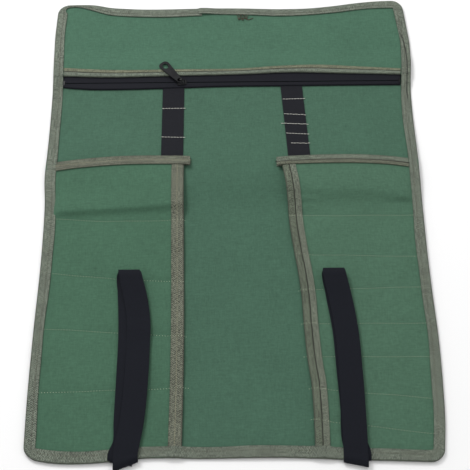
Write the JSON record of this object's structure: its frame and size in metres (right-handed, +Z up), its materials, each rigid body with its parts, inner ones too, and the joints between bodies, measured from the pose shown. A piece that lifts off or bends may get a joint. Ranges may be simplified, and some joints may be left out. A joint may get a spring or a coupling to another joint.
{
  "type": "carving tool roll",
  "caption": "Open canvas tool roll with a zipped pocket, sewn side pockets for carving tools, webbing strips and black closing loops, its zipped end made to roll up.",
  "frame": {"origin": "on the floor under the middle of the roll, closing loops included", "axes": "+X across the roll to the right, +Y from the closing loops to the zipped end, +Z up from the face"},
  "size_m": [0.43, 0.6008, 0.0172],
  "materials": {
    "canvas": "matte plain-weave canvas, grey-green",
    "binding_tape": "matte herringbone tape, grey olive",
    "webbing": "ribbed woven webbing, black",
    "strap": "flat woven elastic, black",
    "zip_tape": "fine woven zip tape, black",
    "zip_teeth": "moulded nylon, satin black",
    "zip_metal": "black enamel, slightly glossy"
  },
  "bodies": {
    "root": {"back_canvas": "canvas", "edge_binding_left": "binding_tape", "edge_binding_right": "binding_tape", "edge_binding_bottom": "binding_tape", "left_pocket_panel": "canvas", "left_pocket_mouth_binding": "binding_tape", "left_pocket_top_binding": "binding_tape", "right_pocket_panel": "canvas", "right_pocket_mouth_binding": "binding_tape", "right_pocket_top_binding": "binding_tape", "webbing_left_foot": "webbing", "webbing_right_foot": "webbing", "strap_end_left": "strap", "strap_end_right": "strap"},
    "turn_1": {"back_canvas_turn_1": "canvas", "edge_binding_left_turn_1": "binding_tape", "edge_binding_right_turn_1": "binding_tape", "webbing_left_turn_1": "webbing", "webbing_right_turn_1": "webbing"},
    "turn_2": {"back_canvas_turn_2": "canvas", "edge_binding_left_turn_2": "binding_tape", "edge_binding_right_turn_2": "binding_tape", "webbing_left_turn_2": "webbing", "webbing_right_turn_2": "webbing"},
    "turn_3": {"back_canvas_turn_3": "canvas", "edge_binding_left_turn_3": "binding_tape", "edge_binding_right_turn_3": "binding_tape", "webbing_left_turn_3": "webbing", "webbing_right_turn_3": "webbing", "zip_tape_lower": "zip_tape", "zip_tape_upper": "zip_tape", "zip_coil_lower": "zip_teeth", "zip_coil_upper": "zip_teeth", "zip_end_stops": "zip_metal", "zip_pocket_binding": "binding_tape", "zip_pocket_panel_turn_3": "canvas"},
    "turn_4": {"back_canvas_turn_4": "canvas", "edge_binding_left_turn_4": "binding_tape", "edge_binding_right_turn_4": "binding_tape", "zip_pocket_panel_turn_4": "canvas"},
    "turn_5": {"back_canvas_turn_5": "canvas", "edge_binding_left_turn_5": "binding_tape", "edge_binding_right_turn_5": "binding_tape", "edge_binding_top": "binding_tape", "zip_pocket_panel_turn_5": "canvas"},
    "slider": {"zip_slider": "zip_metal"},
    "pull": {"pull_tab": "zip_metal"},
    "loop_left": {"closing_loop_left": "strap"},
    "loop_right": {"closing_loop_right": "strap"}
  },
  "joints": [
    {"name": "roll_up_1", "type": "hinge", "parent": "root", "child": "turn_1", "pos_m": [0, 0.07835, 0.0032], "axis": [1, 0, 0], "range_deg": [0, 55]},
    {"name": "roll_up_2", "type": "hinge", "parent": "turn_1", "child": "turn_2", "pos_m": [0, 0.11835, 0.0032], "axis": [1, 0, 0], "range_deg": [0, 55]},
    {"name": "roll_up_3", "type": "hinge", "parent": "turn_2", "child": "turn_3", "pos_m": [0, 0.16135, 0.0032], "axis": [1, 0, 0], "range_deg": [0, 55]},
    {"name": "roll_up_4", "type": "hinge", "parent": "turn_3", "child": "turn_4", "pos_m": [0, 0.22035, 0.0042], "axis": [1, 0, 0], "range_deg": [0, 55]},
    {"name": "roll_up_5", "type": "hinge", "parent": "turn_4", "child": "turn_5", "pos_m": [0, 0.26035, 0.0032], "axis": [1, 0, 0], "range_deg": [0, 55]},
    {"name": "zip_slide", "type": "slide", "parent": "turn_3", "child": "slider", "axis": [1, 0, 0], "range_m": [-0.1339, 0.2535]},
    {"name": "pull_lift", "type": "hinge", "parent": "slider", "child": "pull", "pos_m": [-0.0625, 0.17605, 0.00889], "axis": [0.7771, 0.6293, 0], "range_deg": [0, 75]},
    {"name": "loop_left_flip", "type": "hinge", "parent": "root", "child": "loop_left", "pos_m": [0, -0.29905, 0.0045], "axis": [1, 0, 0], "range_deg": [0, 165]},
    {"name": "loop_right_flip", "type": "hinge", "parent": "root", "child": "loop_right", "pos_m": [0, -0.29905, 0.0045], "axis": [1, 0, 0], "range_deg": [0, 165]}
  ],
  "couplings": [
    {"joint": "roll_up_2", "follows": "roll_up_1", "ratio": 1},
    {"joint": "roll_up_3", "follows": "roll_up_1", "ratio": 1},
    {"joint": "roll_up_4", "follows": "roll_up_1", "ratio": 1},
    {"joint": "roll_up_5", "follows": "roll_up_1", "ratio": 1}
  ]
}
